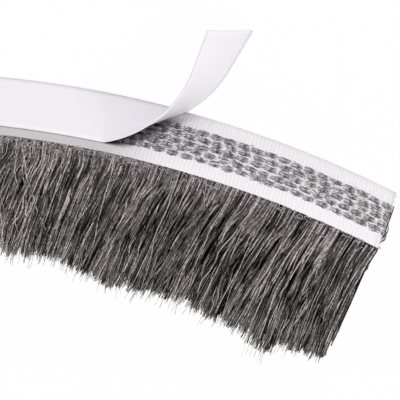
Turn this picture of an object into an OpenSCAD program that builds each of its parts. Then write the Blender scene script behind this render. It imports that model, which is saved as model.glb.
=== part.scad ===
// Self-adhesive brush seal strip, one metre cut from a roll. It lies on its side in the loose ring that
// its coil set gives it: the backing tape stands on one edge, the pile points inwards, and the release
// liner is peeled back from the free end.

/* [Strip] */
// Length of the strip along the back face of the tape
strip_len = 1000; // [880:10:1020]
// Radius that the back face lies in, over most of the length
ring_r = 175; // [170:1:190]
// Radius of the tighter curl at the free end
curl_r = 85; // [70:1:100]
// Length of the tighter curl, along the back face
curl_len = 48; // [36:1:60]
// Direction from the ring's centre to the middle of its open gap, in degrees
gap_dir = -45; // [-50:1:-40]

/* [Backing tape] */
// Width of the tape, which is also its height as it stands
tape_w = 9; // [8:0.5:12]
// Thickness of the tape's plain margins
tape_t = 0.6; // [0.4:0.05:1]
// How far the woven pile band stands out inside the margins
band_rise = 0.35; // [0.2:0.05:0.6]
// Width of the band that the pile is woven into
band_w = 5; // [4:0.25:6]
// Slope on each side of that band
band_slope = 0.4; // [0.2:0.1:0.6]

/* [Pile] */
// Height of the pile, from the back face of the tape to the tips
pile_h = 15; // [12:0.5:20]
// How far the pile's upper side fans out above its root, at the tips
fan_up = 2.2; // [1:0.1:3]
// Distance from the pile's root at which its lower side has sunk to the floor
sag_run = 6; // [4:0.5:8]

/* [Release liner] */
// Width of the liner
liner_w = 7.6; // [6.5:0.1:8]
// Thickness of the liner
liner_t = 0.14; // [0.1:0.02:0.2]
// Height of the liner's lower edge above the floor
liner_z = 0.1; // [0.05:0.05:0.3]
// Distance from the free end at which the liner's upper edge leaves the tape
peel_top = 27.9; // [25:0.1:30]
// Distance from the free end at which the liner's lower edge leaves the tape
peel_foot = 21.4; // [19:0.1:23]
// Angle between the tape and the liner's upper edge at the fold, in degrees
fold_top = 22; // [12:1:35]
// Angle between the tape and the liner's lower edge at the fold, in degrees
fold_foot = 38; // [36:1:55]
// Radius of the bend that turns the peeled liner straight outwards
peel_r = 12.2; // [8:0.1:16]
// Length of the straight run at the peeled liner's end
peel_run = 1.6; // [1:0.1:10]
// How far the peeled liner's upper edge sinks for each millimetre outwards
peel_sink = 0.2; // [0:0.01:0.25]

/* [Hidden] */
$fn = 96;

function radians_to_degrees(a) = a * 180 / PI;
function mix(a, b, t) = a + (b - a) * t;
function heading(a) = [cos(a), sin(a)];

main_len = strip_len - curl_len;
main_sweep = radians_to_degrees(main_len / ring_r);
curl_sweep = radians_to_degrees(curl_len / curl_r);
// The ring's gap is shared evenly on both sides of gap_dir
main_start = gap_dir + (360 - main_sweep) / 2;
curl_dir = main_start - curl_sweep;
curl_centre = (ring_r - curl_r) * heading(main_start);

// Runs a section along the curl and the ring. The section's x is measured outwards from the back face,
// and its y is the height. skip leaves out that much of the strip, from the free end.
module along_strip(skip = 0) {
    rotate([0, 0, main_start]) {
        rotate_extrude(angle = main_sweep, $fn = 360)
            translate([ring_r, 0]) children();
        translate([ring_r - curl_r, 0, 0])
            mirror([0, 1, 0])
                rotate_extrude(angle = radians_to_degrees((curl_len - skip) / curl_r), $fn = 360)
                    translate([curl_r, 0]) children();
    }
}

module tape_section() {
    margin = (tape_w - band_w) / 2;
    polygon([
        [0, 0], [0, tape_w], [-tape_t, tape_w],
        [-tape_t, tape_w - margin + band_slope],
        [-tape_t - band_rise, tape_w - margin],
        [-tape_t - band_rise, margin],
        [-tape_t, margin - band_slope],
        [-tape_t, 0]
    ]);
}

module pile_section() {
    margin = (tape_w - band_w) / 2;
    root = -tape_t - band_rise;
    polygon([
        [root, margin], [root, tape_w - margin],
        [-pile_h * 0.45, tape_w - margin + fan_up * 0.7],
        [-pile_h, tape_w - margin + fan_up],
        [-pile_h, 0], [root - sag_run, 0]
    ]);
}

module backing_tape() {
    color("white")
        along_strip() tape_section();
}

module pile() {
    color("dimgray")
        along_strip() pile_section();
}

// The fold crosses the liner from its upper edge, at peel_top, to its lower edge, at peel_foot
fold_run = peel_top - peel_foot;
liner_top = liner_z + liner_w;
// Direction of the back face at a distance s from the free end, within the curl
function back_dir(s) = curl_dir + radians_to_degrees(s / curl_r);
// Directions along and away from the tape where the liner's upper edge leaves it
peel_out = heading(back_dir(peel_top));
peel_along = heading(back_dir(peel_top) - 90);

// The peeled liner is a grid of points. across runs from 0 at its upper edge to 1 at its lower edge, and
// each line along it lies on the tape for fold_lap, bends round peel_r and ends in peel_run.
across_steps = 8;
bend_steps = 8;
fold_lap = 0.5;
// The peeled part is this much smaller on each side, so that it starts inside the stuck part
lap_inset = 0.02;

function fold_angle(across) = mix(fold_top, fold_foot, across);
function fold_point(across) =
    let (s = peel_top - fold_run * across)
    curl_centre + (curl_r + liner_t / 2) * heading(back_dir(s));
function lap_point(across) =
    let (s = peel_top - fold_run * across + fold_lap)
    curl_centre + (curl_r + liner_t / 2) * heading(back_dir(s));
// A point of the bend, where the liner's direction has turned to angle a
function bend_point(across, a) =
    fold_point(across)
    + peel_r * (sin(a) - sin(fold_angle(across))) * peel_along
    + peel_r * (cos(fold_angle(across)) - cos(a)) * peel_out;

// Each station is a place in plan and the liner's direction there, as an angle from the tape
function stations(across) = concat(
    [[lap_point(across), 0], [fold_point(across), fold_angle(across) / 2]],
    [for (i = [1 : bend_steps])
        let (a = mix(fold_angle(across), 90, i / bend_steps))
        [bend_point(across, a), a]],
    [[bend_point(across, 90) + peel_run * peel_out, 90]]
);
station_count = bend_steps + 3;

function peeled_point(across, station, side) =
    let (
        plan = station[0] + side * (liner_t / 2 - lap_inset)
            * (cos(station[1]) * peel_out - sin(station[1]) * peel_along),
        outwards = max(0, (station[0] - fold_point(across)) * peel_out),
        edge_top = liner_top - peel_sink * outwards
    )
    [plan[0], plan[1], mix(edge_top - lap_inset, liner_z + lap_inset, across)];

module peeled_part() {
    rows = across_steps + 1;
    face_points = rows * station_count;
    points = [
        for (side = [1, -1])
            for (j = [0 : across_steps])
                let (line = stations(j / across_steps))
                for (station = line) peeled_point(j / across_steps, station, side)
    ];
    function at(side, j, k) = side * face_points + j * station_count + k;
    last = station_count - 1;
    polyhedron(points, concat(
        [for (j = [0 : across_steps - 1], k = [0 : last - 1])
            [at(0, j, k), at(0, j + 1, k), at(0, j + 1, k + 1), at(0, j, k + 1)]],
        [for (j = [0 : across_steps - 1], k = [0 : last - 1])
            [at(1, j, k), at(1, j, k + 1), at(1, j + 1, k + 1), at(1, j + 1, k)]],
        [for (k = [0 : last - 1])
            [at(0, 0, k), at(0, 0, k + 1), at(1, 0, k + 1), at(1, 0, k)]],
        [for (k = [0 : last - 1])
            [at(0, across_steps, k), at(1, across_steps, k),
             at(1, across_steps, k + 1), at(0, across_steps, k + 1)]],
        [for (j = [0 : across_steps - 1])
            [at(0, j, 0), at(1, j, 0), at(1, j + 1, 0), at(0, j + 1, 0)]],
        [for (j = [0 : across_steps - 1])
            [at(0, j, last), at(0, j + 1, last), at(1, j + 1, last), at(1, j, last)]]
    ));
}

// Takes the corner off the stuck part, half way along the lap before the fold
module fold_cut() {
    spare = 2;
    slant = fold_run / liner_w;
    translate(curl_centre + curl_r * peel_out - fold_lap / 2 * peel_along)
        rotate([90, 0, back_dir(peel_top) - 90])
            linear_extrude(2 * spare, center = true)
                polygon([
                    [-slant * spare, liner_top + spare],
                    [slant * (liner_w + spare), liner_z - spare],
                    [fold_run + 2 * spare, liner_z - spare],
                    [fold_run + 2 * spare, liner_top + spare]
                ]);
}

module release_liner() {
    color("whitesmoke") {
        difference() {
            along_strip(skip = peel_foot)
                translate([0, liner_z]) square([liner_t, liner_w]);
            fold_cut();
        }
        peeled_part();
    }
}

backing_tape();
pile();
release_liner();
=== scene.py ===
# %% [markdown]
# # A brush seal strip in Blender
# The real thing is a white woven tape with thousands of dark yarns woven through it and cut level, so that
# they seal the gap round a door. The tape's back carries adhesive, covered by a thin white liner that is
# being peeled off here. The frame comes first, because every piece takes its place from it.

# %% Load the frame
import math

import bmesh
import bpy
import numpy as np
from mathutils import Matrix, Vector


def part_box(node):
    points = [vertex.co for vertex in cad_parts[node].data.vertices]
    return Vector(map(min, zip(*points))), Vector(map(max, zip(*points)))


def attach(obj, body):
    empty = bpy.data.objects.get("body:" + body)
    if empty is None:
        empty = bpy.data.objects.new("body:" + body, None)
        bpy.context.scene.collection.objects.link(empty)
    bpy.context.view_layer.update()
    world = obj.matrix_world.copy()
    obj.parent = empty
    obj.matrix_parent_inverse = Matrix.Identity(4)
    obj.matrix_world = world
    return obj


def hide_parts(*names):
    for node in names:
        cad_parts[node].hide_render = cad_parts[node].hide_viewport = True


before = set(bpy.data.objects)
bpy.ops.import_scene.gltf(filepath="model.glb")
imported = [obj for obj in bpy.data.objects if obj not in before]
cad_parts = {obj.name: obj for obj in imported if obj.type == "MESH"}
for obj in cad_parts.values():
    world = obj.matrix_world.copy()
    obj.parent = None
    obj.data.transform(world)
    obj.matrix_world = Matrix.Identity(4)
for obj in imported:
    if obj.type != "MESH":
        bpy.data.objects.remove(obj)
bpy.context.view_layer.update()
BODY = "root"
MM = 0.001

# %% [markdown]
# ## The line that the strip follows
# Every yarn and thread sits somewhere along one metre of strip, so it is easiest to think in three
# distances: how far along the strip from its free end, how far outwards from the tape's back face, and how
# high above the floor. One function turns these into a place in the room. The strip is an arc of a wide
# ring that ends in a tighter curl, so two circle formulas are enough, and no curve object is needed.

# %% Sizes of the strip
tape_low, tape_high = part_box("backing_tape")
TAPE_W = tape_high.z - tape_low.z
RING_R = (tape_high.x - tape_low.x) / 2
STRIP_LEN = 1000 * MM
CUT_SLANT = 0.07
CURL_R = 85 * MM
CURL_LEN = 48 * MM
GAP_DIR = math.radians(-45)
TAPE_T = 0.6 * MM
EDGE_T = 0.18 * MM
BAND_RISE = 0.35 * MM
BAND_W = 5 * MM
BAND_MIDDLE = 4.6 * MM
PILE_H = 15 * MM

RING_SWEEP = (STRIP_LEN - CURL_LEN) / RING_R
CURL_SWEEP = CURL_LEN / CURL_R
RING_START = GAP_DIR + (2 * math.pi - RING_SWEEP) / 2
END_DIR = RING_START - CURL_SWEEP
RING_CENTRE = np.array([0.0, 0.0])
CURL_CENTRE = (RING_R - CURL_R) * np.array([math.cos(RING_START), math.sin(RING_START)])


def strip_place(along, out, high):
    """World points for distances along the strip, outwards from its back face, and above the floor."""
    along, out, high = np.broadcast_arrays(along, out, high)
    in_curl = (along < CURL_LEN)[..., None]
    direction = np.where(
        along < CURL_LEN,
        END_DIR + along / CURL_R,
        RING_START + (along - CURL_LEN) / RING_R,
    )
    centre = np.where(in_curl, CURL_CENTRE, RING_CENTRE)
    radius = np.where(along < CURL_LEN, CURL_R, RING_R) + out
    flat = centre + radius[..., None] * np.stack([np.cos(direction), np.sin(direction)], -1)
    return np.concatenate([flat, high[..., None]], -1)


print("strip: tape", round(TAPE_W / MM, 2), "mm wide, ring", round(RING_R / MM, 1), "mm in radius")

# %% [markdown]
# ## Camera
# The photograph looks down on the strip's free end from outside the ring, and the picture is turned so
# that the pile hangs towards its lower edge. A long lens keeps the lines nearly parallel, as a macro shot
# from some distance does. The camera is set from three directions at right angles to each other.

# %% Camera
VIEW_TARGET = Vector((142.8, -83.7, 3.6)) * MM
VIEW_BACK = Vector((0.4684, -0.3967, 0.7895)).normalized()
VIEW_UP = Vector((0.7603, -0.2742, -0.5889))
VIEW_DISTANCE = 300 * MM
LENS_MM = 287.4

camera_data = bpy.data.cameras.new("camera")
camera_data.lens = LENS_MM
camera_data.clip_start = 0.01
camera = bpy.data.objects.new("camera", camera_data)
bpy.context.scene.collection.objects.link(camera)
view_right = VIEW_UP.cross(VIEW_BACK).normalized()
view_up = VIEW_BACK.cross(view_right)
turn = Matrix((view_right, view_up, VIEW_BACK)).transposed()
camera.matrix_world = Matrix.Translation(VIEW_TARGET + VIEW_BACK * VIEW_DISTANCE) @ turn.to_4x4()
bpy.context.scene.camera = camera

# %% [markdown]
# ## Helpers for pieces
# A piece is a mesh whose object stays at the origin. The first helper makes one from a bmesh, and the
# second from plain arrays, which is the quick way to join tens of thousands of yarns into one mesh.


# %% Helpers for pieces
def add_piece(name, mesh, material, smooth=True):
    piece = bpy.data.objects.new(name, mesh)
    bpy.context.scene.collection.objects.link(piece)
    mesh.materials.append(material)
    mesh.polygons.foreach_set("use_smooth", [smooth] * len(mesh.polygons))
    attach(piece, BODY)
    return piece


def mesh_from_bmesh(name, bm):
    mesh = bpy.data.meshes.new(name)
    bm.to_mesh(mesh)
    bm.free()
    return mesh


def mesh_from_triangles(name, points, triangles):
    mesh = bpy.data.meshes.new(name)
    mesh.vertices.add(len(points))
    mesh.vertices.foreach_set("co", points.astype(np.float32).ravel())
    mesh.loops.add(triangles.size)
    mesh.loops.foreach_set("vertex_index", triangles.astype(np.int32).ravel())
    mesh.polygons.add(len(triangles))
    mesh.polygons.foreach_set("loop_start", np.arange(0, triangles.size, 3, dtype=np.int32))
    mesh.update()
    mesh.validate()
    return mesh


# %% [markdown]
# ## Node helpers
# Materials are built from nodes. These two short functions add a node with its settings, and start a
# material with its Principled BSDF.


# %% Node helpers
def add_node(tree, kind, settings=None, **inputs):
    node = tree.nodes.new(kind)
    for name, value in (settings or {}).items():
        setattr(node, name, value)
    for name, value in inputs.items():
        socket = node.inputs[int(name[1:])] if name[0] == "i" and name[1:].isdigit() else node.inputs[name]
        if isinstance(value, bpy.types.NodeSocket):
            tree.links.new(value, socket)
        else:
            socket.default_value = value
    return node


def math_node(tree, operation, *values):
    inputs = {f"i{number}": value for number, value in enumerate(values)}
    return add_node(tree, "ShaderNodeMath", {"operation": operation}, **inputs).outputs[0]


def new_material(name):
    material = bpy.data.materials.new(name)
    material.use_nodes = True
    return material, material.node_tree, material.node_tree.nodes["Principled BSDF"]


# %% [markdown]
# ## The weave
# The tape is a narrow woven ribbon. Threads across it stand out as fine ribs, and threads along it cross
# them. One node group makes that relief from the strip's own UV map, where U is the distance along the
# strip and V the height, both in metres, so the ribs follow the curve of the strip.


# %% Weave node group
def make_weave_group():
    group = bpy.data.node_groups.new("woven relief", "ShaderNodeTree")
    faces = group.interface
    faces.new_socket("Strip", in_out="INPUT", socket_type="NodeSocketVector")
    faces.new_socket("Across pitch", in_out="INPUT", socket_type="NodeSocketFloat")
    faces.new_socket("Along pitch", in_out="INPUT", socket_type="NodeSocketFloat")
    faces.new_socket("Height", in_out="OUTPUT", socket_type="NodeSocketFloat")
    faces.new_socket("Hollow", in_out="OUTPUT", socket_type="NodeSocketFloat")
    source = group.nodes.new("NodeGroupInput")
    result = group.nodes.new("NodeGroupOutput")
    wobble = add_node(group, "ShaderNodeTexNoise", Vector=source.outputs["Strip"], Scale=900.0, Detail=2.0)
    split = add_node(group, "ShaderNodeSeparateXYZ", Vector=source.outputs["Strip"])
    drift = math_node(group, "MULTIPLY", wobble.outputs["Fac"], 0.00016)
    along = math_node(group, "ADD", split.outputs["X"], drift)
    turns = math_node(group, "DIVIDE", along, source.outputs["Across pitch"])
    rib = math_node(group, "SINE", math_node(group, "MULTIPLY", turns, 2 * math.pi))
    rows = math_node(group, "DIVIDE", split.outputs["Y"], source.outputs["Along pitch"])
    row = math_node(group, "SINE", math_node(group, "MULTIPLY", rows, 2 * math.pi))
    crossing = math_node(group, "MULTIPLY", rib, row)
    weave = math_node(group, "ADD", math_node(group, "MULTIPLY", rib, 0.3), math_node(group, "MULTIPLY", crossing, 0.2))
    height = math_node(group, "ADD", weave, 0.5)
    group.links.new(height, result.inputs["Height"])
    group.links.new(math_node(group, "SUBTRACT", 1.0, height), result.inputs["Hollow"])
    return group


WEAVE = make_weave_group()

# %% [markdown]
# ## Shaded crevices
# Where the liner lifts off, little light gets into the narrow wedge beneath it. One node group paints that
# shade into any colour, by how much of the view around a point is open.


# %% Crevice node group
def make_crevice_group():
    group = bpy.data.node_groups.new("shaded crevice", "ShaderNodeTree")
    faces = group.interface
    faces.new_socket("Color", in_out="INPUT", socket_type="NodeSocketColor")
    faces.new_socket("Distance", in_out="INPUT", socket_type="NodeSocketFloat")
    faces.new_socket("Amount", in_out="INPUT", socket_type="NodeSocketFloat")
    faces.new_socket("Color", in_out="OUTPUT", socket_type="NodeSocketColor")
    faces.new_socket("Open", in_out="OUTPUT", socket_type="NodeSocketFloat")
    source = group.nodes.new("NodeGroupInput")
    result = group.nodes.new("NodeGroupOutput")
    # painted shade: the less of the view around a point is open, the darker its colour is made
    around = add_node(group, "ShaderNodeAmbientOcclusion", {"samples": 8}, Distance=source.outputs["Distance"])
    open_share = math_node(group, "POWER", math_node(group, "MULTIPLY", around.outputs["AO"], 1.3), 4.0)
    share = math_node(group, "MINIMUM", open_share, 1.0)
    shaded = add_node(
        group, "ShaderNodeMix", {"data_type": "RGBA", "blend_type": "MULTIPLY"}, Factor=source.outputs["Amount"],
        i6=source.outputs["Color"], i7=share,
    )
    group.links.new(shaded.outputs[2], result.inputs["Color"])
    group.links.new(share, result.inputs["Open"])
    return group


CREVICE = make_crevice_group()


def shade_crevices(tree, colour, distance, amount):
    crevice = add_node(
        tree, "ShaderNodeGroup", {"node_tree": CREVICE}, Color=colour, Distance=distance, Amount=amount
    )
    return crevice.outputs["Color"], crevice.outputs["Open"]


# %% [markdown]
# ## Tape material
# White polypropylene threads are bright, with painted shade in the hollows between the ribs. The adhesive
# leaves a thin gloss on the back, which a little coat on the shader gives.


# %% Tape material
def make_tape_material():
    material, tree, shader = new_material("woven tape")
    strip = add_node(tree, "ShaderNodeUVMap", {"uv_map": "strip"})
    weave = add_node(tree, "ShaderNodeGroup", {"node_tree": WEAVE}, Strip=strip.outputs["UV"])
    weave.inputs["Across pitch"].default_value = 0.36 * MM
    weave.inputs["Along pitch"].default_value = 0.42 * MM
    stain = add_node(tree, "ShaderNodeTexNoise", Vector=strip.outputs["UV"], Scale=160.0, Detail=3.0)
    # painted shade: the colour is greyer in the weave's hollows between the ribs
    shade = math_node(tree, "MULTIPLY", weave.outputs["Hollow"], 0.26)
    shade = math_node(tree, "ADD", shade, math_node(tree, "MULTIPLY", stain.outputs["Fac"], 0.12))
    height = add_node(tree, "ShaderNodeSeparateXYZ", Vector=strip.outputs["UV"]).outputs["Y"]
    from_middle = math_node(tree, "ABSOLUTE", math_node(tree, "SUBTRACT", height, BAND_MIDDLE))
    in_band = add_node(
        tree, "ShaderNodeMapRange", {"interpolation_type": "SMOOTHSTEP"}, Value=from_middle,
        **{"From Min": BAND_W / 2 - 0.4 * MM, "From Max": BAND_W / 2 + 0.1 * MM, "To Min": 0.32, "To Max": 0.0},
    )
    shade = math_node(tree, "ADD", shade, in_band.outputs["Result"])
    # where the liner still lies, painted shade from its edge darkens the margin beside it
    along = add_node(tree, "ShaderNodeSeparateXYZ", Vector=strip.outputs["UV"]).outputs["X"]
    covered = add_node(
        tree, "ShaderNodeMapRange", {"interpolation_type": "SMOOTHSTEP"}, Value=along,
        **{"From Min": 22 * MM, "From Max": 29 * MM, "To Min": 0.0, "To Max": 1.0},
    )
    upper = add_node(
        tree, "ShaderNodeMapRange", {"interpolation_type": "SMOOTHSTEP"}, Value=height,
        **{"From Min": 5.5 * MM, "From Max": 7.5 * MM, "To Min": 0.0, "To Max": 0.95},
    )
    liner_edge_shade = math_node(tree, "MULTIPLY", covered.outputs["Result"], upper.outputs["Result"])
    shade = math_node(tree, "ADD", shade, liner_edge_shade)
    colour = add_node(
        tree, "ShaderNodeMix", {"data_type": "RGBA"}, Factor=shade,
        i6=(0.93, 0.90, 0.925, 1), i7=(0.58, 0.555, 0.57, 1),
    )
    # close to the floor the open room still lights the tape, so the shade fades out there
    amount = add_node(
        tree, "ShaderNodeMapRange", {"interpolation_type": "SMOOTHSTEP"}, Value=height,
        **{"From Min": 0.5 * MM, "From Max": 3.0 * MM, "To Min": 0.15, "To Max": 1.0},
    )
    # painted shade in the narrow wedge under the lifted liner, from the crevice group
    shaded, open_share = shade_crevices(tree, colour.outputs[2], 1.3 * MM, amount.outputs["Result"])
    tree.links.new(shaded, shader.inputs["Base Color"])
    tree.links.new(math_node(tree, "MULTIPLY", open_share, 0.15), shader.inputs["Coat Weight"])
    tree.links.new(math_node(tree, "MULTIPLY", open_share, 0.4), shader.inputs["Specular IOR Level"])
    bump = add_node(tree, "ShaderNodeBump", Height=weave.outputs["Height"], Distance=0.00006, Strength=0.7)
    tree.links.new(bump.outputs["Normal"], shader.inputs["Normal"])
    shader.inputs["Roughness"].default_value = 0.6
    shader.inputs["Coat Roughness"].default_value = 0.35
    return material


TAPE_MATERIAL = make_tape_material()

# %% [markdown]
# ## Backing tape
# The tape keeps one section over its whole length: plain margins that thin out to the edges, and a thicker
# band where the pile is woven in. So the section is drawn once at the free end, its corners are rounded, and
# two spins carry it round the curl and the ring. A UV map then stores each point's distance along the strip.


# %% Backing tape
def section_bmesh(section, rounding, start=0.0):
    """A closed loop of edges near the free end, with rounded corners. The cut runs a little aslant."""
    bm = bmesh.new()
    out, high = np.array(section, dtype=float).T
    places = strip_place(start + CUT_SLANT * high, out, high)
    corners = [bm.verts.new(place) for place in places]
    bm.faces.new(corners)
    if rounding:
        bmesh.ops.bevel(
            bm, geom=bm.verts[:], offset=rounding, segments=3, profile=0.5, affect="VERTICES", material=-1
        )
    bmesh.ops.delete(bm, geom=bm.faces[:], context="FACES_ONLY")
    return bm


def spin_along_strip(bm, curl_steps=40, ring_steps=380, spare=0.0):
    """Sweeps the loop along the strip and leaves out the spare length at each end."""
    ring_sweep = RING_SWEEP - (CUT_SLANT * TAPE_W + spare) / RING_R
    curl_centre = (*CURL_CENTRE, 0.0)
    first = bmesh.ops.spin(
        bm, geom=bm.verts[:] + bm.edges[:], cent=curl_centre, axis=(0, 0, 1), angle=CURL_SWEEP - spare / CURL_R,
        steps=curl_steps, use_merge=False,
    )
    bmesh.ops.spin(
        bm, geom=first["geom_last"], cent=(0, 0, 0), axis=(0, 0, 1), angle=ring_sweep,
        steps=ring_steps, use_merge=False,
    )
    bmesh.ops.remove_doubles(bm, verts=bm.verts[:], dist=0.001 * MM)
    bmesh.ops.holes_fill(bm, edges=[edge for edge in bm.edges if edge.is_boundary], sides=0)
    bmesh.ops.recalc_face_normals(bm, faces=bm.faces[:])


def strip_uv(mesh):
    """Stores each corner's distance along the strip, and its height, as a UV map."""
    count = len(mesh.vertices)
    flat = np.empty(count * 3, dtype=np.float32)
    mesh.vertices.foreach_get("co", flat)
    points = flat.reshape(-1, 3).astype(float)
    to_curl = points[:, :2] - CURL_CENTRE
    curl_angle = np.arctan2(to_curl[:, 1], to_curl[:, 0]) - END_DIR
    ring_angle = (np.arctan2(points[:, 1], points[:, 0]) - RING_START) % (2 * math.pi)
    in_ring = (ring_angle <= RING_SWEEP + 0.001) & ~((curl_angle > -0.01) & (curl_angle < CURL_SWEEP))
    along = np.where(in_ring, CURL_LEN + ring_angle * RING_R, curl_angle * CURL_R)
    corner = np.empty(len(mesh.loops), dtype=np.int32)
    mesh.loops.foreach_get("vertex_index", corner)
    layer = mesh.uv_layers.new(name="strip")
    layer.data.foreach_set("uv", np.stack([along, points[:, 2]], -1)[corner].astype(np.float32).ravel())


def make_backing_tape():
    margin = (TAPE_W - BAND_W) / 2
    slope = 0.4 * MM
    band = -TAPE_T - BAND_RISE
    thinning = 0.9 * MM
    section = [
        (0, 0), (0, TAPE_W), (-EDGE_T, TAPE_W), (-TAPE_T, TAPE_W - thinning), (-TAPE_T, TAPE_W - margin + slope),
        (band, TAPE_W - margin), (band, margin), (-TAPE_T, margin - slope), (-TAPE_T, thinning), (-EDGE_T, 0),
    ]
    bm = section_bmesh(section, 0.07 * MM)
    spin_along_strip(bm)
    mesh = mesh_from_bmesh("backing_tape_woven", bm)
    strip_uv(mesh)
    piece = add_piece("backing_tape_woven", mesh, TAPE_MATERIAL)
    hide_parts("backing_tape")
    print("backing tape:", len(mesh.polygons), "faces")


make_backing_tape()

# %% [markdown]
# ## Yarn material
# A cut yarn is dark grey, and its fibres differ a little, so each one carries its own tone as an attribute,
# which also holds painted light and shade: lighter on the pile's open side, darker inside and in its gaps.
# The tone picks a colour between nearly black and light grey, and a fine noise breaks it up along the yarn.
# The shine is kept low, because in a white room it would turn every dark yarn grey.


# %% Yarn material
def make_yarn_material(name, dark, light, roughness, dapple_share=0.0, crevice=0.0):
    material, tree, shader = new_material(name)
    tone = add_node(tree, "ShaderNodeAttribute", {"attribute_name": "tone"})
    place = add_node(tree, "ShaderNodeTexCoord")
    dapple = add_node(tree, "ShaderNodeTexNoise", Vector=place.outputs["Object"], Scale=3500.0, Detail=1.0)
    lift = add_node(
        tree, "ShaderNodeMapRange", Value=dapple.outputs["Fac"],
        **{"From Min": 0.35, "From Max": 0.65, "To Min": 1.0 - dapple_share, "To Max": 1.0 + dapple_share},
    )
    factor = math_node(tree, "MULTIPLY", tone.outputs["Fac"], lift.outputs["Result"])
    colour = add_node(tree, "ShaderNodeMix", {"data_type": "RGBA"}, Factor=factor, i6=(*dark, 1), i7=(*light, 1))
    shown = shade_crevices(tree, colour.outputs[2], 1.6 * MM, crevice)[0] if crevice else colour.outputs[2]
    tree.links.new(shown, shader.inputs["Base Color"])
    shader.inputs["Roughness"].default_value = roughness
    shader.inputs["Specular IOR Level"].default_value = 0.03
    return material


YARN_MATERIAL = make_yarn_material("pile yarn", (0.003, 0.0025, 0.0025), (0.73, 0.66, 0.66), 0.5, 0.45)
FLUFF_MATERIAL = make_yarn_material("loose fluff", (0.16, 0.15, 0.15), (0.95, 0.88, 0.88), 0.6)
CORE_MATERIAL = make_yarn_material("pile shade", (0.010, 0.009, 0.009), (0.03, 0.03, 0.03), 0.9)

# %% [markdown]
# ## Inside of the pile
# Between the outer yarns the eye only meets shadow. A slim dark core, made as the tape is, fills the middle
# of the pile as painted shadow, so that the yarns need to cover only the outside.


# %% Inside of the pile
def make_pile_core():
    inset = 1.0 * MM
    root = -TAPE_T - BAND_RISE
    margin = (TAPE_W - BAND_W) / 2
    section = [
        (root, margin + 0.2 * MM), (root, TAPE_W - margin - 0.2 * MM),
        (-0.45 * PILE_H, TAPE_W - margin + 0.2 * MM), (-PILE_H + 3 * MM, TAPE_W - margin + 0.6 * MM),
        (-PILE_H + 3 * MM, inset), (root - 6 * MM, inset),
    ]
    spare = 1.5 * MM
    bm = section_bmesh(section, 0, spare)
    spin_along_strip(bm, 24, 240, spare)
    mesh = mesh_from_bmesh("pile_core", bm)
    piece = add_piece("pile_core", mesh, CORE_MATERIAL)
    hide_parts("pile")


make_pile_core()

# %% [markdown]
# ## Yarns
# Each yarn is a thin tapered tube with three sides, closed at both ends. Its path is worked out in strip
# distances for all yarns at once. Yarns gather in tufts, and tufts in wider locks that lean their own way,
# which leaves the dark partings that cut pile has. Each yarn has a crimp of its own, and a few stray. Near
# the free end many fine yarns lie over coarser ones, and the rest of the ring has coarse ones only.


# %% Yarn tubes
def tubes(paths, radius, from_tip=False):
    """Closed three-sided tubes along paths, an array of yarn by point by (along, out, high)."""
    count, points, _ = paths.shape
    rings = points - 1
    angle = np.arange(3) * 2 * math.pi / 3 * (-1 if from_tip else 1)
    ring = np.stack([np.cos(angle), np.zeros(3), np.sin(angle)], -1)
    body = paths[:, :rings, None, :] + radius[:, :rings, None, None] * ring
    strip = np.concatenate([body.reshape(count, rings * 3, 3), paths[:, rings:, :]], 1)
    world = strip_place(strip[..., 0], strip[..., 1], strip[..., 2])
    faces = [(0, 2, 1)]
    for k in range(rings - 1):
        for j in range(3):
            a, b = 3 * k + j, 3 * k + (j + 1) % 3
            faces += [(a, b, b + 3), (a, b + 3, a + 3)]
    tip = 3 * rings
    faces += [(tip - 3 + j, tip - 3 + (j + 1) % 3, tip) for j in range(3)]
    triangles = np.array(faces)[None] + (np.arange(count) * (tip + 1))[:, None, None]
    return world.reshape(-1, 3), triangles.reshape(-1, 3)


def yarn_piece(name, paths, radius, tone, material, from_tip=False):
    points, triangles = tubes(paths, radius, from_tip)
    mesh = mesh_from_triangles(name, points, triangles)
    if tone.ndim == 1:
        tone = np.repeat(tone[:, None], paths.shape[1], 1)
    spread = np.concatenate([np.repeat(tone[:, :-1], 3, 1), tone[:, -1:]], 1)
    layer = mesh.attributes.new("tone", "FLOAT", "POINT")
    layer.data.foreach_set("value", spread.astype(np.float32).ravel())
    print(name + ":", len(mesh.polygons), "triangles")
    return add_piece(name, mesh, material)


# %% Pile yarns
PILE_ROOT = TAPE_T + BAND_RISE
PILE_LOW = (TAPE_W - BAND_W) / 2
PILE_TOP = (TAPE_W + BAND_W) / 2
FAN_UP = 2.15 * MM
NEAR_LEN = 52 * MM
EDGE_LEVEL = 0.88

grouping = np.random.default_rng(5)
LOCK_EDGES = np.cumsum(grouping.uniform(1.2, 4.4, 500)) * MM
LOCK_LEAN = grouping.normal(0, 0.65, 501) * MM
LOCK_BOW = grouping.normal(0, 0.30, 501) * MM
LOCK_LIFT = grouping.normal(0, 0.15, 501) * MM
LOCK_CUT = grouping.normal(0, 0.30, 501) * MM
TUFT = 0.8 * MM
TUFT_SHIFT = grouping.normal(0, 0.38, 8192) * TUFT
TUFT_CUT = grouping.normal(0, 0.26, 8192) * MM
TUFT_LIFT = grouping.normal(0, 0.14, 8192) * MM
TUFT_TONE = grouping.uniform(0.82, 1.0, 8192)
STRAND = 0.16 * MM
STRAND_SHIFT = grouping.normal(0, 0.3, 8192) * STRAND
STRAND_LEAN = grouping.normal(0, 0.40, 8192) * MM
STRAND_TONE = grouping.uniform(0.62, 1.12, 8192)
STRAND_WAVE = np.stack([grouping.uniform(1.6, 3.4, 8192), grouping.uniform(0, 6.3, 8192), grouping.normal(0, 0.11, 8192)])
GAP_SHADE_TABLE = grouping.random((2048, 16))
GAP_SHADE_TABLE[1::2] *= 0.6
LINES = grouping.random((4096, 16))
LINE_START = grouping.uniform(0, 16, 4096)


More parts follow.
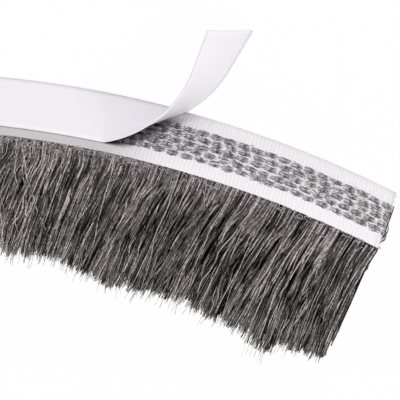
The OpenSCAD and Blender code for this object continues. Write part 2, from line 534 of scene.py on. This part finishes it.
def pile_reach(along):
    """How far the pile reaches from the tape's back face. Its trimmed edge is uneven near the free end."""
    places = np.array([0, 1.2, 2.4, 4, 6, 8, 10, 14, 18, 22, 26, 31, 38, 47, 60]) * MM
    extra = np.array([-0.6, -1.2, -1.2, 0.3, 1.9, 1.3, 0.3, -0.7, -0.4, 0.2, -0.7, -1.6, -2.4, -2.4, -0.4]) * MM
    return PILE_H + np.interp(along, places, extra)


def pile_lean(along):
    """How far the tips lean along the strip, away from the free end, and how far the yarns bow."""
    places = np.array([0, 7, 20, 30, 38, 50, 90]) * MM
    lean = np.array([-2.1, 0.8, 2.9, 3.9, 4.5, 4.8, 1.0]) * MM
    bow = np.array([-0.15, 0.5, 0.3, 0.0, -0.3, -0.2, 0.0]) * MM
    return np.interp(along, places, lean), np.interp(along, places, bow)


def crimp(turns, phase, swing, t):
    """A sideways wave along every yarn, starting from nothing at the root."""
    wave = np.sin(2 * math.pi * turns[:, None] * t + phase[:, None])
    return swing[:, None] * wave * np.minimum(1, 4 * t)


def line_noise(table, flow, n, width, length):
    """Random values that change quickly across the yarns and slowly along them."""
    column = np.floor(flow / width).astype(int) % len(table)
    row = -n / length + LINE_START[column]
    below = np.floor(row).astype(int)
    share = row - below
    return table[column, below % 16] * (1 - share) + table[column, (below + 1) % 16] * share


def pile_paths(rng, count, start, stop, points, lowest, highest, stray, longer=0.03):
    """Paths and tones of the yarns that root between two distances along the strip and between two levels."""
    # the yarns inside are seen by their tips only, and those tips are less even than the upper side
    loose = 1.0 if points > 6 else 4.0
    # the last point lies close behind the one before it, so that the yarn ends bluntly, as if cut
    t = np.append(np.linspace(0, 1, points - 1) ** 1.2, 1.003)
    along = rng.uniform(start, stop, count)
    # level is 0 at the pile's lower side and 1 at its upper side
    level = rng.uniform(lowest, highest, count)
    along = np.maximum(along, CUT_SLANT * TAPE_W * level + 0.1 * MM * rng.random(count))
    is_stray = rng.random(count) < stray
    lock = np.searchsorted(LOCK_EDGES, along + rng.normal(0, 0.25 * MM, count))
    tuft_s = np.floor(along / TUFT + rng.normal(0, 0.25, count)).astype(int)
    tuft = (tuft_s * 31 + np.round(level * 6 + rng.normal(0, 0.2, count)).astype(int) * 7919) % 8192
    pull = (rng.uniform(0.5, 0.7, count) if points > 3 else 0.25) * ((tuft_s + 0.5) * TUFT + TUFT_SHIFT[tuft] - along)
    # yarns lie side by side in strands, and about one in seven has left its strand
    strand_s = np.floor(along / STRAND)
    strand = (strand_s * 17 + np.floor(level * 24) * 5231).astype(int) % 8192
    offset = along - (strand_s + 0.5) * STRAND
    leaves = rng.random(count) < 0.12
    along = np.maximum(along - 0.45 * offset + STRAND_SHIFT[strand], 0.05 * MM)
    lean, bow = pile_lean(along)
    own = LOCK_LEAN[lock] + STRAND_LEAN[strand] + rng.normal(0, 1, count) * np.where(leaves, 0.9, 0.10 * loose) * MM
    # at the very end of the strip nothing leans out on its own
    lean = lean + own * np.clip(along / (3 * MM), 0.1, 1)
    is_stray &= along > 4 * MM
    lean = np.where(is_stray, rng.normal(0, 2.2 * MM, count), lean)
    s = along[:, None] + pull[:, None] * np.sin(2.2 * t) + lean[:, None] * t
    bowed = (bow + LOCK_BOW[lock])[:, None] * np.sin(math.pi * t)
    s = s + bowed
    turns, phase, swing = STRAND_WAVE[:, strand]
    s = s + crimp(turns, phase, swing * MM, t)
    s = s + crimp(turns * 1.3, rng.uniform(0, 6.3, count), rng.normal(0, 0.05, count) * MM, t)
    reach = pile_reach(along) + LOCK_CUT[lock] + TUFT_CUT[tuft] + rng.normal(0, 0.14 * loose * MM, count)
    beyond = (0.1 + np.minimum(rng.exponential(0.45 + 0.15 * longer, count), 1.1 + 0.5 * longer)) * MM
    reach = reach + np.where(rng.random(count) < longer, beyond, 0)
    n = -PILE_ROOT + 0.1 * MM - (reach - PILE_ROOT)[:, None] * t
    root_high = PILE_LOW + (PILE_TOP - PILE_LOW) * level
    tip_high = 0.25 * MM + (PILE_TOP + FAN_UP - 0.35 * MM) * level
    tip_high = tip_high + (TUFT_LIFT[tuft] + LOCK_LIFT[lock]) * level
    quick = 1 + 5 * level**4 + np.where(is_stray, 4, 0)
    z = root_high[:, None] + (tip_high - root_high)[:, None] * (1 - np.maximum(1 - t, 0) ** quick[:, None])
    z = z + crimp(turns, phase * 2, rng.normal(0, 0.06, count) * MM + swing * 1.2 * MM, t)
    # the uppermost yarns come up close behind the tape's edge, and the topmost of them lie on it
    edge = (level > EDGE_LEVEL) & (points > 6)
    below = (1 - level[edge]) * MM
    n[edge, 0] = -0.35 * MM
    n[edge, 1] = -0.01 * MM - 1.4 * below - 0.35 * MM * np.clip(1 - along[edge] / (10 * MM), 0, 1)
    rise = rng.uniform(0, 0.3, count)[edge] * np.clip(along[edge] / (20 * MM) - 0.5, 0, 1)
    z[edge, 1] = TAPE_W + (0.08 + rise) * MM - 2.2 * below
    keep_up = np.array([0.85, 0.65, 0.45, 0.28, 0.12])
    if points > 6:
        raised = z[:, 2:7] + (TAPE_W - 2.2 * (1 - level[:, None]) * MM - z[:, 2:7]) * keep_up
        z[:, 2:7] = np.where(edge[:, None], np.maximum(z[:, 2:7], raised), z[:, 2:7])
    z = np.clip(z, 0.12 * MM, TAPE_W + 0.30 * MM)
    # yarns on the pile's upper side, where light reaches them, are lighter than those inside
    # the coarse yarns are fewer, so more of them show
    open_from, open_over = (0.78, 0.15) if points > 2 else (0.40, 0.35)
    # painted shade: yarns of lower tufts and locks are darker, those of raised ones lighter
    lift = (TUFT_LIFT[tuft] + LOCK_LIFT[lock]) / MM * 0.06
    open_side = np.clip((level + lift - open_from) / open_over, 0.0, 1.0)
    # painted light: yarns close to a cut end, where light gets in from the end, are lighter
    to_end = np.minimum(along - CUT_SLANT * TAPE_W * level, STRIP_LEN - along)
    open_side = np.maximum(open_side, 0.6 * np.clip(1.4 - to_end / MM, 0, 1))
    tone = rng.beta(1.2, 1.1, count) * (0.06 + 0.94 * open_side) * TUFT_TONE[tuft]
    # painted shade between strands: yarns at a strand's sides are darker than those in its middle
    side = np.where(leaves, 0.3, np.abs(offset) / (0.5 * STRAND))
    strand_side_shade = 1.03 + np.interp(along / MM, [16, 36], [1.75, 1.0]) * (0.5 - side)
    tone = tone * STRAND_TONE[strand] * strand_side_shade * np.interp(along / MM, [8, 20, 36], [0.84, 1.10, 1.10])
    tone = np.where(is_stray, rng.uniform(0.7, 1.0, count), tone)
    flow = s - (pile_lean(along)[0] + LOCK_LEAN[lock])[:, None] * t - bowed
    flow = flow + 3.7 * MM * np.floor(np.minimum(level, 0.84) * 60)[:, None]
    length = np.interp(along / MM, [12, 32], [2.2, 1.3])[:, None] * MM
    lines = line_noise(LINES, flow, n, 0.12 * MM, length)
    depth = np.interp(along / MM, [18, 36], [1.0, 0.8])[:, None]
    # painted shade: yarns along narrow random slits are darkened, for the shadowed gaps between them
    gap_shade = depth * np.clip((line_noise(GAP_SHADE_TABLE, flow, n, 0.20 * MM, 1.9 * MM) - 0.66) / 0.05, 0, 1)
    # further along, the pile is more even
    contrast = np.interp(along / MM, [16, 36], [1.7, 1.1])[:, None]
    tone = tone[:, None] * np.where(is_stray[:, None], 1.0, (0.95 + contrast * (lines - 0.5)) * (1 - gap_shade))
    if points <= 6:
        tone = np.maximum(tone, rng.beta(1.5, 2.5, (count, 1)) * 0.5 * t**8)
    return np.stack([s, n, z], -1), tone


def add_pile(name, seed, count, start, stop, points, thick, lowest, highest, stray):
    rng = np.random.default_rng(seed)
    paths, tone = pile_paths(rng, count, start, stop, points, lowest, highest, stray)
    taper = np.minimum(1, np.linspace(1.8, 0.8, points - 1))
    radius = thick * rng.uniform(0.7, 1.3, (count, 1)) * taper
    # a yarn of two points is a cone with its blunt end at the pile's cut face. It is lighter, to make up
    # for the dark gaps between the cones.
    from_tip = points == 2
    if from_tip:
        paths, tone = paths[:, ::-1], 1.8 * tone[:, ::-1]
    yarn_piece(name, paths, radius, tone, YARN_MATERIAL, from_tip)


def add_fringe():
    """Fine pale tips that reach past the cut edge of the pile. Only their last part is made."""
    rng = np.random.default_rng(17)
    count = 1300
    paths, _ = pile_paths(rng, count, 0.6 * MM, NEAR_LEN, 15, 0.72, 1.0, 0.0, 1.0)
    paths = paths[:, -6:]
    tone = rng.uniform(0.1, 1.0, (count, 1)) * np.linspace(0.3, 1.0, 6)
    radius = rng.uniform(0.022, 0.040, (count, 1)) * MM * np.linspace(1.2, 0.8, 5)
    yarn_piece("pile_fringe", paths, radius, tone, FLUFF_MATERIAL)


for number in range(3):
    add_pile(f"pile_end_{number + 1}", 11 + number, 1700, 0.05 * MM, NEAR_LEN, 15, 0.056 * MM, 0.84, 1.0, 0.014)
add_fringe()
add_pile("pile_end_inside", 14, 6000, 0.05 * MM, NEAR_LEN, 5, 0.075 * MM, 0.0, 0.90, 0.0)
far = np.linspace(NEAR_LEN, STRIP_LEN - 0.1 * MM, 4)
for number in range(3):
    add_pile(f"pile_run_{number + 1}", 21 + number, 19000, far[number], far[number + 1], 2, 0.13 * MM, 0.0, 1.0, 0.005)

# %% [markdown]
# ## Stitches on the back
# The pile yarn shows on the tape's back as rows of short dark floats, each a small bundle of filaments that
# dives into the weave at both ends. Each float is a few low arches of the same tubes as the pile. Only the
# stretch near the free end is open to view, so the floats stop a little way under the liner.

# %% Stitches
STITCH_PITCH = 1.33 * MM
STITCH_LEN = 1.46 * MM
STITCH_W = 0.88 * MM
STITCH_ROWS = 5
ROW_STEP = 1.01 * MM
LOWEST_ROW = 2.62 * MM
STITCH_SHIFT = (0.0, 0.27, 0.25, -0.08, 0.39)
STITCHED_LEN = 33 * MM
# the floats get painted crevice shade, darker where little of the view around them is open
STITCH_MATERIAL = make_yarn_material("stitch yarn", (0.28, 0.275, 0.28), (1.0, 0.97, 0.99), 0.6, 0.3, 0.7)


def make_stitches():
    rng = np.random.default_rng(7)
    filaments = 16
    centres = []
    for row in range(STITCH_ROWS):
        for k in range(int(STITCHED_LEN / STITCH_PITCH)):
            centres.append(((k + 0.5 - STITCH_SHIFT[row]) * STITCH_PITCH, LOWEST_ROW + row * ROW_STEP))
    centres = np.array(centres)
    count = len(centres) * filaments
    centres = centres + rng.normal(0, 0.045 * MM, centres.shape)
    centre = np.repeat(centres, filaments, 0)
    t = np.linspace(-1, 1, 7)
    half = STITCH_LEN / 2 * rng.uniform(0.75, 1.05, count)
    across = rng.uniform(-1, 1, count)
    tilt = rng.normal(0, 0.10 * MM, count)
    s = centre[:, :1] + half[:, None] * t + rng.normal(0, 0.06 * MM, count)[:, None]
    bow = STITCH_W / 2 * across[:, None] * (1 - 0.35 * t**2)
    z = centre[:, 1:] + bow + tilt[:, None] * t
    z = z + 0.06 * MM * np.sin(rng.uniform(4, 8, count)[:, None] * t + rng.uniform(0, 6.3, count)[:, None])
    crown = (0.10 - 0.06 * across**2) * MM + rng.uniform(-0.02, 0.03, count) * MM
    n = crown[:, None] * (1 - t**4) - 0.05 * MM
    radius = np.full((count, 6), 0.036 * MM)
    # the cut goes through the floats that lie across it
    cut = CUT_SLANT * z
    s = np.maximum(s, cut + 0.05 * (s - cut))
    paths = np.stack([s, n, z], -1)
    # painted shade: the middle filaments, on the float's crown, are lighter and those at its sides darker
    tone = np.clip(0.75 - 0.65 * across**2 + rng.normal(0, 0.28, count), 0, 1)
    yarn_piece("stitch_floats", paths, radius, tone, STITCH_MATERIAL)
    print("stitches:", len(centres), "floats of", filaments, "filaments")


def make_stitch_fuzz():
    """Short loose fibres that blur the floats' outlines."""
    rng = np.random.default_rng(8)
    count = 700
    t = np.linspace(-1, 1, 5)
    turn = rng.normal(0, 0.6, count)
    half = rng.uniform(0.15, 0.35, count)
    s = rng.uniform(0.4, 33, count)[:, None] + (half * np.cos(turn))[:, None] * t
    z = rng.uniform(2.1, 7.1, count)[:, None] + (half * np.sin(turn))[:, None] * t
    z = z + 0.05 * np.sin(4 * t + rng.uniform(0, 6.3, count)[:, None])
    n = rng.uniform(0.06, 0.13, count)[:, None] * (1 - t**2) - 0.02
    paths = np.stack([s, n, z], -1) * MM
    yarn_piece("stitch_fuzz", paths, np.full((count, 4), 0.028 * MM), rng.uniform(0, 0.9, count),
               STITCH_MATERIAL)


make_stitches()
make_stitch_fuzz()

# %% [markdown]
# ## Frayed end and stray fibres
# The strip was cut with scissors, so the last dark yarn has come loose along the cut and short white ends
# stick out at the corner. A little fluff also lies along the tape's upper edge, where the pile rubs on it.


# %% Frayed end and stray fibres
def make_frayed_end():
    rng = np.random.default_rng(31)
    t = np.linspace(0, 1, 16)
    count = 10
    first, last = rng.uniform(2.2, 3.6, count), rng.uniform(8.2, 9.3, count)
    z = (first[:, None] + (last - first)[:, None] * t) * MM
    loop = rng.uniform(0.5, 0.75, count)[:, None]
    slack = np.exp(-(((t - loop) / 0.10) ** 2)) * rng.uniform(0.0, 0.5, count)[:, None]
    wave = 0.08 * np.sin(rng.uniform(6, 14, count)[:, None] * t + rng.uniform(0, 6.3, count)[:, None])
    s = (-0.12 - slack + wave + 0.25 * t**3) * MM + CUT_SLANT * z
    n = (0.06 + 0.7 * wave - 0.35 * t) * MM
    paths = np.stack([s, n, z], -1)
    yarn_piece("frayed_yarn", paths, np.full((count, 15), 0.040 * MM), rng.uniform(0.05, 0.35, count),
               YARN_MATERIAL)


def make_white_ends():
    rng = np.random.default_rng(32)
    t = np.linspace(0, 1, 7)
    count = 46
    z = rng.uniform(0.3, 8.9, count)[:, None] + rng.normal(0, 0.25, count)[:, None] * t
    reach = rng.uniform(0.12, 0.40, count) + np.where(z[:, 0] > 8, 0.4 * rng.random(count), 0)
    s = 0.1 - reach[:, None] * t + 0.05 * np.sin(6 * t + rng.uniform(0, 6.3, count)[:, None]) + CUT_SLANT * z
    n = rng.uniform(-0.5, -0.05, count)[:, None] + rng.normal(0, 0.15, count)[:, None] * t**2
    paths = np.stack([s, n, z], -1) * MM
    yarn_piece("frayed_white_ends", paths, np.full((count, 6), 0.032 * MM), rng.uniform(0, 1, count),
               WHITE_ENDS_MATERIAL)


def make_edge_fluff():
    """Small loose curls that lie on the pile along the tape's upper edge."""
    rng = np.random.default_rng(33)
    t = np.linspace(0, 1, 8)
    count = 650
    start = np.where(rng.random(count) < 0.3, rng.uniform(1.5, 50, count), rng.uniform(22, 50, count))
    turn = rng.uniform(0, 6.3, count)[:, None] + rng.uniform(1.5, 4.5, count)[:, None] * t
    size = rng.uniform(0.10, 0.38, count)[:, None]
    s = start[:, None] + size * np.sin(turn) + rng.normal(0, 0.2, count)[:, None] * t
    n = 0.1 - rng.gamma(1.5, 0.26, count)[:, None] + size * np.cos(turn)
    z = TAPE_W / MM + rng.uniform(0.15, 0.40, count)[:, None] + 0.08 * np.sin(turn * 1.3)
    paths = np.stack([s, np.minimum(n, 0.12), z], -1) * MM
    yarn_piece("edge_fluff", paths, np.full((count, 7), 0.028 * MM), rng.uniform(0.2, 1.0, count),
               FLUFF_MATERIAL)


WHITE_ENDS_MATERIAL = make_yarn_material("white ends", (0.60, 0.58, 0.59), (0.88, 0.86, 0.87), 0.5)
make_frayed_end()
make_white_ends()
make_edge_fluff()

# %% [markdown]
# ## Release liner
# The liner is one smooth film. It lies on the adhesive until the fold, which runs aslant, and then lifts,
# bends outwards and sinks a little at its upper edge. A grid is bent into that shape line by line, and a
# Solidify modifier gives the film its thickness.

# %% Release liner
LINER_W = 7.6 * MM
LINER_T = 0.14 * MM
LINER_Z = 0.1 * MM
PEEL_TOP = 27.9 * MM
PEEL_FOOT = 21.4 * MM
# each pair is for the liner's upper edge and its lower edge
FOLD_ANGLE = (math.radians(20.5), math.radians(45.5))
LAST_ANGLE = (math.radians(80), math.radians(72))
PEEL_R = (11.5 * MM, 14.3 * MM)
PEEL_RUN = (4.0 * MM, 5.2 * MM)
PEEL_SINK = 0.2
SOFT_FOLD = 0.5 * MM


def make_liner_material():
    material, tree, shader = new_material("release liner")
    place = add_node(tree, "ShaderNodeTexCoord")
    cloud = add_node(tree, "ShaderNodeTexNoise", Vector=place.outputs["Object"], Scale=120.0, Detail=3.0)
    colour = add_node(
        tree, "ShaderNodeMix", {"data_type": "RGBA"}, Factor=cloud.outputs["Fac"],
        i6=(0.87, 0.835, 0.885, 1), i7=(0.90, 0.870, 0.915, 1),
    )
    tree.links.new(colour.outputs[2], shader.inputs["Base Color"])
    grain = add_node(tree, "ShaderNodeTexNoise", Vector=place.outputs["Object"], Scale=2500.0, Detail=2.0)
    bump = add_node(tree, "ShaderNodeBump", Height=grain.outputs["Fac"], Distance=0.00001, Strength=0.4)
    tree.links.new(bump.outputs["Normal"], shader.inputs["Normal"])
    shader.inputs["Roughness"].default_value = 0.38
    return material


LINER_MATERIAL = make_liner_material()


def peeled_line(across, steps):
    """Distances along and outwards from the fold for one line of the peeled liner."""
    pairs = (FOLD_ANGLE, LAST_ANGLE, PEEL_R, PEEL_RUN)
    fold, last, radius, run = [top + (foot - top) * across for top, foot in pairs]
    # the film's end is cut straight, so its middle lines are a little shorter
    run = run - 2.2 * MM * across * (1 - across)
    distance = np.linspace(0, radius * (last - fold) + run, steps)
    turned = np.clip(fold + distance / radius, 0, last)
    ease = np.clip(distance / SOFT_FOLD, 0, 1)
    turned = turned * (ease * ease * (3 - 2 * ease))
    step = np.diff(distance, prepend=0)
    return np.cumsum(np.cos(turned) * step), np.cumsum(np.sin(turned) * step)


def make_release_liner():
    rows, flap_steps, stuck_steps = 13, 60, 420
    fold_dir = END_DIR + PEEL_TOP / CURL_R
    outward = np.array([math.cos(fold_dir), math.sin(fold_dir)])
    onward = np.array([math.sin(fold_dir), -math.cos(fold_dir)])
    bm = bmesh.new()
    bmesh.ops.create_grid(bm, x_segments=flap_steps + stuck_steps - 1, y_segments=rows - 1, size=1.0)
    columns = flap_steps + stuck_steps
    order = sorted(bm.verts, key=lambda v: (round(v.co.y, 5), round(v.co.x, 5)))
    for row in range(rows):
        across = row / (rows - 1)
        fold_s = PEEL_TOP + (PEEL_FOOT - PEEL_TOP) * across
        high = LINER_Z + LINER_W * (1 - across)
        start = strip_place(fold_s, LINER_T / 2 + 0.01 * MM, high)
        along, out = peeled_line(across, flap_steps)
        flap = start[:2] + along[::-1, None] * onward + out[::-1, None] * outward
        sunk = high - PEEL_SINK * out[::-1] * (1 - across)
        share = np.linspace(0, 1, stuck_steps + 1)[1:]
        stuck = strip_place(fold_s + (STRIP_LEN - fold_s) * share**1.15, LINER_T / 2 + 0.01 * MM, high)
        line = np.concatenate([np.concatenate([flap, sunk[:, None]], 1), stuck])
        for vertex, place in zip(order[row * columns : (row + 1) * columns], line):
            vertex.co = place
    bmesh.ops.recalc_face_normals(bm, faces=bm.faces[:])
    mesh = mesh_from_bmesh("release_liner_film", bm)
    piece = add_piece("release_liner_film", mesh, LINER_MATERIAL)
    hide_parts("release_liner")
    solid = piece.modifiers.new("thickness", "SOLIDIFY")
    solid.thickness = LINER_T
    solid.offset = 0


make_release_liner()

# %% [markdown]
# ## Floor, light and background
# The strip lies on a plain pale floor. Seen straight from the camera the floor is mostly its own white, so
# the picture's background is white, and the rest of it takes light and keeps the strip's shadow.


# %% Floor
def make_floor():
    bm = bmesh.new()
    bmesh.ops.create_grid(bm, x_segments=1, y_segments=1, size=4.0)
    mesh = mesh_from_bmesh("floor", bm)
    floor = bpy.data.objects.new("floor", mesh)
    bpy.context.scene.collection.objects.link(floor)
    material, tree, shader = new_material("floor")
    shader.inputs["Base Color"].default_value = (0.86, 0.86, 0.86, 1)
    shader.inputs["Roughness"].default_value = 0.9
    glow = add_node(tree, "ShaderNodeEmission", Color=(1, 1, 1, 1), Strength=1.0)
    path = add_node(tree, "ShaderNodeLightPath")
    seen = math_node(tree, "MAXIMUM", path.outputs["Is Camera Ray"], path.outputs["Is Glossy Ray"])
    seen = math_node(tree, "MAXIMUM", seen, path.outputs["Is Transmission Ray"])
    share = math_node(tree, "MULTIPLY", seen, 0.97)
    blend = add_node(tree, "ShaderNodeMixShader", i0=share, i1=shader.outputs[0], i2=glow.outputs[0])
    tree.links.new(blend.outputs[0], tree.nodes["Material Output"].inputs["Surface"])
    mesh.materials.append(material)


def make_world():
    world = bpy.data.worlds.new("world")
    bpy.context.scene.world = world
    world.use_nodes = True
    tree = world.node_tree
    path = add_node(tree, "ShaderNodeLightPath")
    seen = math_node(tree, "MAXIMUM", path.outputs["Is Camera Ray"], path.outputs["Is Transmission Ray"])
    strength = math_node(tree, "ADD", math_node(tree, "MULTIPLY", seen, 1.0 - WORLD_STRENGTH), WORLD_STRENGTH)
    background = tree.nodes["Background"]
    background.inputs["Color"].default_value = (1, 1, 1, 1)
    tree.links.new(strength, background.inputs["Strength"])


def add_area_light(name, direction, distance, size, power):
    data = bpy.data.lights.new(name, "AREA")
    data.shape = "DISK"
    data.size = size
    data.energy = power
    light = bpy.data.objects.new(name, data)
    bpy.context.scene.collection.objects.link(light)
    direction = Vector(direction).normalized()
    light.location = VIEW_TARGET + direction * distance
    light.rotation_euler = direction.to_track_quat("Z", "Y").to_euler()


WORLD_STRENGTH = 0.70
make_floor()
make_world()
add_area_light("key", (-0.25, -0.65, 0.9), 1.6, 0.5, 7.8)
add_area_light("side", (0.84, -0.62, 0.45), 1.6, 0.7, 5.2)
bpy.context.scene.view_settings.view_transform = "Standard"
